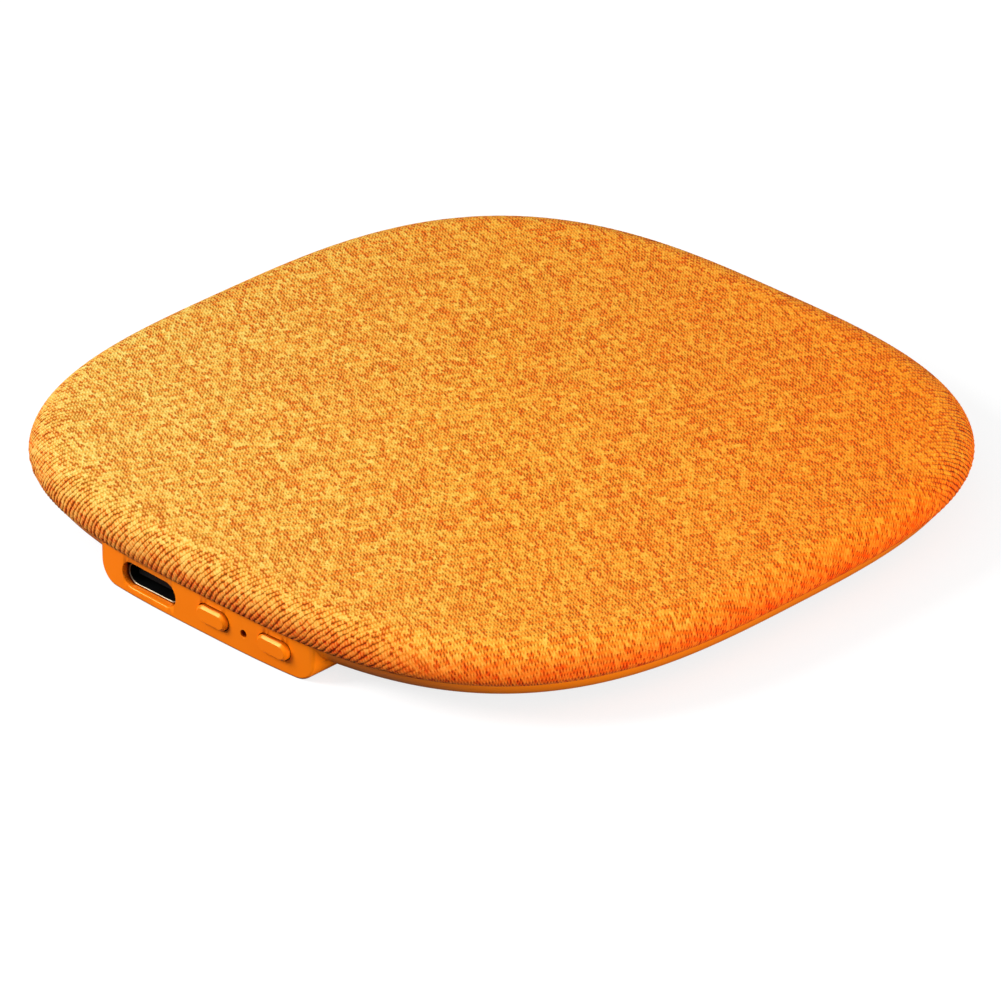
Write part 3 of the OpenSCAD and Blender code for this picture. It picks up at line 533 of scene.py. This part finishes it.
def knit_front(section):
    """The raised front of the knit, on a grid laid along its wales: its points, its quads and, for each
    point, its wale, its course and how far the ribs are open."""
    lengths = along(section)
    edge = lengths[-1]
    turns = np.array([WALE_TURNS, COURSE_TURNS])
    across = np.linalg.inv(turns)
    far = np.abs(turns) @ np.array([edge, edge]) * GRID_MARGIN
    wale, course = np.meshgrid(spread(far[0], WALE_STEP), spread(far[1], COURSE_STEP), indexing="ij")
    u, v = np.moveaxis(np.stack([wale, course], -1) @ across.T, -1, 0)
    size = np.hypot(u, v)
    limit = edge * reach(np.arctan2(v, u))
    inside = size <= limit
    pulled = np.where(inside, 1.0, limit / np.maximum(size, 1e-6))
    u, v = u * pulled, v * pulled
    wale, course = np.moveaxis(np.stack([u, v], -1) @ turns.T, -1, 0)
    points = on_section(section, lengths, u, v)
    nudge = 0.01
    du = on_section(section, lengths, u + nudge, v) - on_section(section, lengths, u - nudge, v)
    dv = on_section(section, lengths, u, v + nudge) - on_section(section, lengths, u, v - nudge)
    normal = np.cross(du, dv)
    normal /= np.maximum(np.linalg.norm(normal, axis=-1, keepdims=True), 1e-9)
    opened = stretch_over_edge(u, v, edge)
    fade = np.clip((edge - np.hypot(u, v) / reach(np.arctan2(v, u))) / HEM_FADE, 0, 1)
    depth = WALE_DEPTH[0] + (WALE_DEPTH[1] - WALE_DEPTH[0]) * opened
    points -= normal * (depth * fade * (0.5 - 0.5 * np.cos(2 * math.pi * wale)))[..., None]
    index = np.arange(wale.size).reshape(wale.shape)
    keep = inside[:-1, :-1] | inside[1:, :-1] | inside[:-1, 1:] | inside[1:, 1:]
    quads = np.stack([index[:-1, :-1], index[1:, :-1], index[1:, 1:], index[:-1, 1:]], -1)[keep]
    used = np.unique(quads)
    renumber = np.full(wale.size, -1)
    renumber[used] = np.arange(len(used))
    stitch = np.stack([wale.ravel(), course.ravel(), opened.ravel()], 1)[used]
    return points.reshape(-1, 3)[used], renumber[quads], stitch


def knit_back(hem):
    """Rings of the hem turned in and of the plain back, from the hem's own angles to near the middle."""
    angle = np.arctan2(hem[:, 1], hem[:, 0])
    rim = reach(angle)
    back = [(RIM_INSET + HEM_W, HEM_Z, 1), (RIM_INSET + HEM_W, HEM_Z + FABRIC_T, 1)]
    back.append((RIM_INSET + HEM_TURN, HEM_Z + FABRIC_T, 1))
    for a in np.radians(np.linspace(0, 90, 6)):
        back.append((FABRIC_T + (EDGE_W - FABRIC_T) * (1 - math.cos(a)),
                     WIDE_Z + (PLATEAU_Z - WIDE_Z - FABRIC_T) * math.sin(a), 0))
    for s in (0.75, 0.5, 0.25):
        back.append((HALF - s * (HALF - EDGE_W), PLATEAU_Z - FABRIC_T + CROWN_H * (1 - s * s) ** 2, 0))
    rings = []
    for inset, z, low in back:
        r = (HALF - inset) * rim
        rings.append(np.stack([r * np.cos(angle), r * np.sin(angle), z + hem_height(angle, low)], 1))
    return rings


def fabric(knit):
    """The knitted skin: a front raised into ribs, its hem turned in and a plain back."""
    outer, quads, stitches = knit_front(body_section())
    loop = boundary(quads)
    rings = knit_back(outer[loop])
    skin = np.concatenate([outer, *rings, [[0, 0, PLATEAU_Z - FABRIC_T + CROWN_H]]])
    faces = quads.tolist()
    count, first = len(loop), len(outer)
    ids = [loop] + [list(range(first + j * count, first + (j + 1) * count)) for j in range(len(rings))]
    for one, two in zip(ids, ids[1:]):
        for i in range(count):
            k = (i + 1) % count
            faces.append((one[k], one[i], two[i], two[k]))
    middle = len(skin) - 1
    faces += [(ids[-1][(i + 1) % count], ids[-1][i], middle) for i in range(count)]

    piece = new_object("knit_cover", skin, faces)
    stitch = piece.data.attributes.new("stitch", "FLOAT_VECTOR", "POINT")
    values = np.zeros((len(skin), 3), np.float32)
    values[:len(outer)] = stitches
    for j in range(len(rings)):
        values[first + j * count:first + (j + 1) * count] = values[loop]
    stitch.data.foreach_set("vector", values.ravel())
    piece_of(piece, "housing", "knit_fabric", knit)
    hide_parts("fabric_cover")


def foam(material):
    """The foam disc between the cover and the fabric, flat below and crowned above."""
    low, top = PLATE_TOP + FIT_GAP / 2, PLATEAU_Z - FABRIC_T - SKIN_GAP
    a = np.radians(np.linspace(0, 90, 5))
    section = [(FOAM_INSET + FOAM_ROUND * (1 - math.sin(t)), low + FOAM_ROUND * (1 - math.cos(t))) for t in a]
    section += [(FOAM_INSET + FOAM_ROUND * (1 - math.cos(t)), top - FOAM_ROUND * (1 - math.sin(t)))
                for t in a[1:]]
    span = (HALF - FOAM_INSET - FOAM_ROUND) / (HALF - EDGE_W)
    for share in (0.93, 0.8, 0.65, 0.5, 0.35, 0.2, 0.07):
        s = span * share
        crown = CROWN_H * ((1 - s * s) ** 2 - (1 - span * span) ** 2)
        section.append((HALF - s * (HALF - EDGE_W), top + crown))
    piece = new_object("foam_disc", *loft([outline_ring(i, z, 240) for i, z in section]))
    piece_of(piece, "housing", "foam", material)
    piece.data.set_sharp_from_angle(angle=math.radians(50))
    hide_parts("foam_pad")


def model_inside(node):
    """The ribs, sleeves and bosses of the model's own housing, without its walls."""
    mesh = node.data.copy()
    work = bmesh.new()
    work.from_mesh(mesh)
    bmesh.ops.remove_doubles(work, verts=work.verts, dist=MERGE_M)
    work.to_mesh(mesh)
    work.free()
    made = bpy.data.objects.new("inside", mesh)
    bpy.context.scene.collection.objects.link(made)
    hollow = combined(rim_room("reach", INSIDE_GROW), ("UNION", pod_bay("reach_low", INSIDE_GROW)))
    return combined(made, ("INTERSECT", hollow))


def combined(base, *steps):
    """Cuts and unions applied to an object one after another; the helpers are removed."""
    for operation, other in steps:
        made = base.modifiers.new(operation, "BOOLEAN")
        made.operation, made.object, made.solver = operation, other, "MANIFOLD"
    view = bpy.context.evaluated_depsgraph_get()
    mesh = bpy.data.meshes.new_from_object(base.evaluated_get(view))
    mesh.materials.clear()
    base.modifiers.clear()
    base.data = mesh
    for _, other in steps:
        bpy.data.objects.remove(other)
    return base


def pod_ring(inset):
    """The pod's lower outline as (x, z) points, set in all round, from the left wall to the right one."""
    r = POD_R - inset
    w = POD_W / 2 - inset
    a = np.radians(np.linspace(0, 90, 12))
    left = np.stack([-w + r * (1 - np.cos(a)), inset + r * (1 - np.sin(a))], 1)
    middle = np.stack([np.linspace(-w + r, w - r, 42)[1:-1], np.full(40, float(inset))], 1)
    right = left[::-1] * (-1, 1)
    return np.concatenate([left, middle, right])


def pod_solid(name, stations, top):
    """A pod from front to back through (inset, y) stations, where y may follow the face."""
    rings = []
    for inset, y in stations:
        low = pod_ring(inset)
        place = y(low[:, 0]) if callable(y) else np.full(len(low), float(y))
        front = np.stack([low[:, 0], place, low[:, 1]], 1)
        upper = front.copy()
        upper[:, 2] = top
        rings.append(np.concatenate([front, upper[::-1]]))
    points, faces = loft(rings[::-1], caps=False)
    count = len(rings[0])
    last = (len(rings) - 1) * count
    for i in range(count // 2 - 1):
        faces.append((i, count - 1 - i, count - 2 - i, i + 1))
        faces.append((last + i, last + i + 1, last + count - 2 - i, last + count - 1 - i))
    return new_object(name, points, faces)


def mouth(w, h, x, z, round_r, deep, steps=24):
    """A cutter for an opening in the pod's face, with a rounded mouth square to the face there."""
    a = np.radians(np.linspace(0, 90, 8))
    stations = [(-MOUTH_OUT, round_r + MOUTH_FLARE)]
    stations += list(zip(round_r * (1 - np.cos(a)), round_r * (1 - np.sin(a))))
    stations.append((deep, 0.0))
    points, faces = rod(w, h, stations[::-1], steps)
    tilt = math.atan2(face_y(x + w / 2) - face_y(x - w / 2), w)
    c, s = math.cos(tilt), math.sin(tilt)
    turned = points @ np.array([[c, s, 0], [-s, c, 0], [0, 0, 1]])
    return new_object("mouth", turned + (x, face_y(x), z), faces)


def rim_room(name, grow):
    """The hollow inside the rim, grown into its wall."""
    r = RIM_R - SHELL_WALL + grow
    a = np.linspace(math.asin(RIM_R * math.sin(RIM_LEAN) / r), math.pi / 2, 12)
    section = list(zip(RIM_MID - r * np.cos(a), BASE_Z + RIM_R - r * np.sin(a)))
    section.insert(0, (section[0][0], CUT_TOP))
    return new_object(name, *loft([outline_ring(i, z, 240) for i, z in section[::-1]]))


def pod_bay(name, grow):
    """The hollow inside the pod, grown into its walls."""
    ends = CAVITY_Y - grow, POD_BACK - SHELL_WALL + grow
    return pod_solid(name, [(SHELL_WALL - grow, y) for y in ends], CUT_TOP)


def housing(node, material):
    """The moulded base: a rounded rim, the pod below it and the openings in the pod's face."""
    a = np.linspace(RIM_LEAN, math.pi / 2, 22)
    rim = [(RIM_INSET, SEAM_Z)]
    rim += list(zip(RIM_MID - RIM_R * np.cos(a), BASE_Z + RIM_R * (1 - np.sin(a))))[1:]
    base = new_object("base_shell", *loft([outline_ring(i, z) for i, z in rim[::-1]]))
    q = POD_EDGE_R
    turn = np.radians(np.linspace(0, 90, 6))
    front = [(q * (1 - math.sin(t)), lambda x, t=t: face_y(x) + STEP + q * (1 - math.cos(t))) for t in turn]
    rear = [(q * (1 - math.sin(t)), POD_BACK - q * (1 - math.cos(t))) for t in turn[::-1]]
    pod = pod_solid("pod", front + rear, SEAM_Z - STEP)
    deep = FRONT_WALL + MOUTH_DEEP
    hole_w, hole_h = BUTTON_W + 2 * BUTTON_GAP, BUTTON_H + 2 * BUTTON_GAP
    # The microphone hole is a hair wider than high, so that no two of its points are the same
    mic_w, mic_x = MIC_HOLE_D + 1e-3, BUTTON_X + BUTTON_PITCH / 2
    cutters = [
        mouth(SLOT_W, SLOT_H, USB_X, USB_Z, SLOT_ROUND, deep),
        mouth(hole_w, hole_h, BUTTON_X, BUTTON_Z, BUTTON_ROUND, deep),
        mouth(hole_w, hole_h, BUTTON_2_X, BUTTON_Z, BUTTON_ROUND, deep),
        mouth(mic_w, MIC_HOLE_D, mic_x, USB_Z, MIC_ROUND, deep),
    ]
    piece = combined(
        base, ("DIFFERENCE", rim_room("room", 0)), ("UNION", pod), ("DIFFERENCE", pod_bay("bay", 0)),
        ("UNION", model_inside(node)), *(("DIFFERENCE", cutter) for cutter in cutters))
    piece_of(piece, "housing", "orange_plastic", material)
    piece.data.set_sharp_from_angle(angle=math.radians(35))
    even = piece.modifiers.new("even shading", "WEIGHTED_NORMAL")
    even.keep_sharp = True
    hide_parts("base_housing")


def button(name, x, material):
    """A button with a rounded bevel, its flange behind the wall and its stem."""
    front = face_y(x) - BUTTON_PROUD
    flange = CAVITY_Y + FIT_GAP
    stations = [(front + depth, growth) for depth, growth in BUTTON_EDGE]
    stations += [(flange, 0.0), (flange, FLANGE_LIP - FLANGE_ROUND), (flange + FLANGE_ROUND, FLANGE_LIP),
                 (flange + FLANGE_T, FLANGE_LIP)]
    points, faces = rod(BUTTON_W, BUTTON_H, stations[::-1])
    stem = np.array([(-1, -1), (1, -1), (1, 1), (-1, 1)]) * (STEM_W / 2, STEM_H / 2)
    ends = flange + FLANGE_T + STEM_L, flange + FLANGE_T - STEM_SINK
    more, walls = loft([along_y(stem, y) for y in ends])
    faces += [tuple(i + len(points) for i in f) for f in walls]
    made = new_object(name + "_cap", np.concatenate([points, more]) + (x, 0, BUTTON_Z), faces)
    piece_of(made, name, "orange_plastic", material)
    made.data.set_sharp_from_angle(angle=math.radians(30))
    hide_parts(name)


def socket(bright, dark):
    """The socket's drawn shell: a rounded bright lip, an inside dark with painted shade, and four legs."""
    front = face_y(USB_X) + USB_RECESS
    back = front + USB_L
    half = USB_WALL / 2
    a = np.radians(np.linspace(0, 180, 9))
    stations = [(back, -USB_BACK_ROUND), (back - USB_BACK_ROUND, 0.0)]
    stations += [(front + half * (1 - math.sin(t)), -half * (1 - math.cos(t))) for t in a]
    stations.append((back - USB_WALL, -USB_WALL))
    steps = 32
    points, faces = rod(USB_W, USB_H, stations, steps)
    # The last faces are the ring of the inner wall, the cap behind and the cap at its bottom
    caps = len(faces) - 2
    inside = [caps + 1, *range(caps - 2 * steps, caps)]
    legs = []
    for side in (-1, 1):
        for y in LEG_PLACES:
            x, w = side * (USB_W - USB_H) / 2, USB_WALL
            foot = np.array([(x, y), (x + w, y), (x + w, y + LEG_L), (x, y + LEG_L)]) - (w / 2, 0)
            rings = [np.column_stack([foot[:, 0], foot[:, 1] + front, np.full(4, z)])
                     for z in (USB_H / 2 - LEG_SINK, USB_H / 2 + LEG_H)]
            legs.append(loft(rings))
    for more, walls in legs:
        faces += [tuple(i + len(points) for i in f) for f in walls]
        points = np.concatenate([points, more])
    made = new_object("socket_shell", points + (USB_X, 0, USB_Z), faces)
    piece_of(made, "housing", "bright_steel", bright, dark)
    # The inside walls take the near-black metal, painted shade within the socket
    for i in inside:
        made.data.polygons[i].material_index = 1
    made.data.set_sharp_from_angle(angle=math.radians(50))
    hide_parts("usb_shell")


def surround(node, material):
    """The driver's rolled ring between the moving cone and the frame, drawn in sectors."""
    points = np.array([node.matrix_world @ vertex.co for vertex in node.data.vertices]) / MM
    centre = (points.min(axis=0) + points.max(axis=0)) / 2
    low = points[:, 2].min()
    middle, half = (ROLL_IN + ROLL_OUT) / 2, (ROLL_OUT - ROLL_IN) / 2
    arch = np.radians(np.arange(180, -1, -15))
    under = [(middle + half * math.cos(t), ROLL_H * math.sin(t)) for t in arch]
    under = [(ROLL_IN - ROLL_LIP, 0.0), *under, (ROLL_OUT + ROLL_LAND, 0.0)]
    section = [(r, z + ROLL_T - FIT_GAP) for r, z in under] + under[::-1]
    turn = 2 * math.pi / SECTORS
    for k in range(SECTORS):
        rings = []
        for t in k * turn + np.linspace(0, turn, 7):
            x, y = math.cos(t), math.sin(t)
            rings.append(np.array([(centre[0] + r * x, centre[1] + r * y, low + z) for r, z in section]))
        piece = new_object(f"surround_{k + 1}", *loft(rings))
        piece.data.shade_smooth()
        piece.data.set_sharp_from_angle(angle=math.radians(50))
        piece.data.materials.append(material)
        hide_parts("driver_surround")
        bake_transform(piece)


def dress_model(nodes, knit):
    """Puts each of the model's own nodes in the finish of its material slot. Returns the finishes."""
    finishes = {
        "orange_plastic": satin_plastic(),
        "foam": foam_material(),
        "board": board_material(),
        "knit_fabric": knit,
    }
    for slot, look in PLASTICS.items():
        finishes[slot] = plain_plastic(*look)
    for slot, look in METALS.items():
        finishes[slot] = metal(*look)
    slots = {part["node"]: part["material_slot"] for part in frame["record"]["subparts"]}
    for name, node in nodes.items():
        node.data.materials.clear()
        node.data.materials.append(finishes[slots[name]])
    return finishes


def camera():
    """The photograph's camera, worked out from the outline and the pod's marks."""
    level, rise = math.cos(CAMERA_ELEVATION), math.sin(CAMERA_ELEVATION)
    back = Vector((math.sin(CAMERA_AZIMUTH) * level, -math.cos(CAMERA_AZIMUTH) * level, rise))
    data = bpy.data.cameras.new("camera")
    data.sensor_width = SENSOR_W
    data.lens = FOCAL_PX * data.sensor_width / PHOTO_PX
    centre = PHOTO_PX / 2
    data.shift_x = (centre - ORIGIN_PX[0]) / PHOTO_PX
    data.shift_y = (ORIGIN_PX[1] - centre) / PHOTO_PX
    data.clip_start, data.clip_end = CLIP_M
    made = bpy.data.objects.new("camera", data)
    bpy.context.scene.collection.objects.link(made)
    made.location = back * CAMERA_DISTANCE * MM
    made.rotation_mode = "QUATERNION"
    made.rotation_quaternion = (-back).to_track_quat("-Z", "Y")
    bpy.context.scene.camera = made


def area_light(name, place, width, power):
    """A round lamp aimed at the origin."""
    data = bpy.data.lights.new(name, "AREA")
    data.shape = "DISK"
    data.size = width
    data.energy = power
    made = bpy.data.objects.new(name, data)
    bpy.context.scene.collection.objects.link(made)
    made.location = place
    made.rotation_mode = "QUATERNION"
    made.rotation_quaternion = (-Vector(place)).to_track_quat("-Z", "Y")


def studio():
    """A plain pale floor, a soft world, a lamp from the front left and a low one from the right."""
    world = bpy.data.worlds.new("studio")
    bpy.context.scene.world = world
    world.use_nodes = True
    tree = world.node_tree
    paths = add(tree, "ShaderNodeLightPath")
    seen = maths(tree, "MAXIMUM", paths.outputs["Is Camera Ray"], paths.outputs["Is Transmission Ray"])
    toward = add(tree, "ShaderNodeTexCoord").outputs["Generated"]
    height = add(tree, "ShaderNodeSeparateXYZ", {"Vector": toward}).outputs["Z"]
    sky = between(tree, height, 0.0, 1.0, SKY_LOW, SKY_HIGH)
    strength = maths(tree, "ADD", seen, maths(tree, "MULTIPLY", sky, maths(tree, "SUBTRACT", 1.0, seen)))
    tree.nodes["Background"].inputs["Color"].default_value = (1, 1, 1, 1)
    tree.links.new(strength, tree.nodes["Background"].inputs["Strength"])

    h = FLOOR_HALF
    floor = new_object("floor", [(-h, -h, 0), (h, -h, 0), (h, h, 0), (-h, h, 0)], [(0, 1, 2, 3)])
    made, tree, shader = surface("pale floor", {"Roughness": 0.9, "Specular IOR Level": 0.0})
    paths = add(tree, "ShaderNodeLightPath")
    seen = paths.outputs["Is Camera Ray"]
    tone = blend(tree, seen, (FLOOR_UNSEEN,) * 3, (FLOOR_SEEN,) * 3)
    tree.links.new(tone, shader.inputs["Base Color"])
    shader.inputs["Emission Color"].default_value = (1, 1, 1, 1)
    tree.links.new(maths(tree, "MULTIPLY", seen, FLOOR_GLOW), shader.inputs["Emission Strength"])
    floor.data.materials.append(made)

    for name, lamp in LAMPS.items():
        area_light(name, *lamp)


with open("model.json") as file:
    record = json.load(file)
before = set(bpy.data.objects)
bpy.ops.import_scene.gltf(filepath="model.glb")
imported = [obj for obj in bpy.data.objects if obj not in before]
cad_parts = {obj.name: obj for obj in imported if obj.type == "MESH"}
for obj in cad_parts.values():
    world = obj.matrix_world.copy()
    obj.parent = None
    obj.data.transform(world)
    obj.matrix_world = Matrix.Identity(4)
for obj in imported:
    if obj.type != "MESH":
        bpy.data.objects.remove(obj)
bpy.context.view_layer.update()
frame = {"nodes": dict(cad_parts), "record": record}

camera()
studio()
knit = knit_material()
finishes = dress_model(frame["nodes"], knit)
foam(finishes["foam"])
surround(frame["nodes"]["driver_surround"], finishes["soft_rubber"])
fabric(knit)
housing(frame["nodes"]["base_housing"], finishes["orange_plastic"])
button("button_up", BUTTON_X, finishes["orange_plastic"])
button("button_down", BUTTON_2_X, finishes["orange_plastic"])
socket(finishes["bright_steel"], metal(*SOCKET_SHADE))

bpy.context.scene.view_settings.view_transform = "Standard"
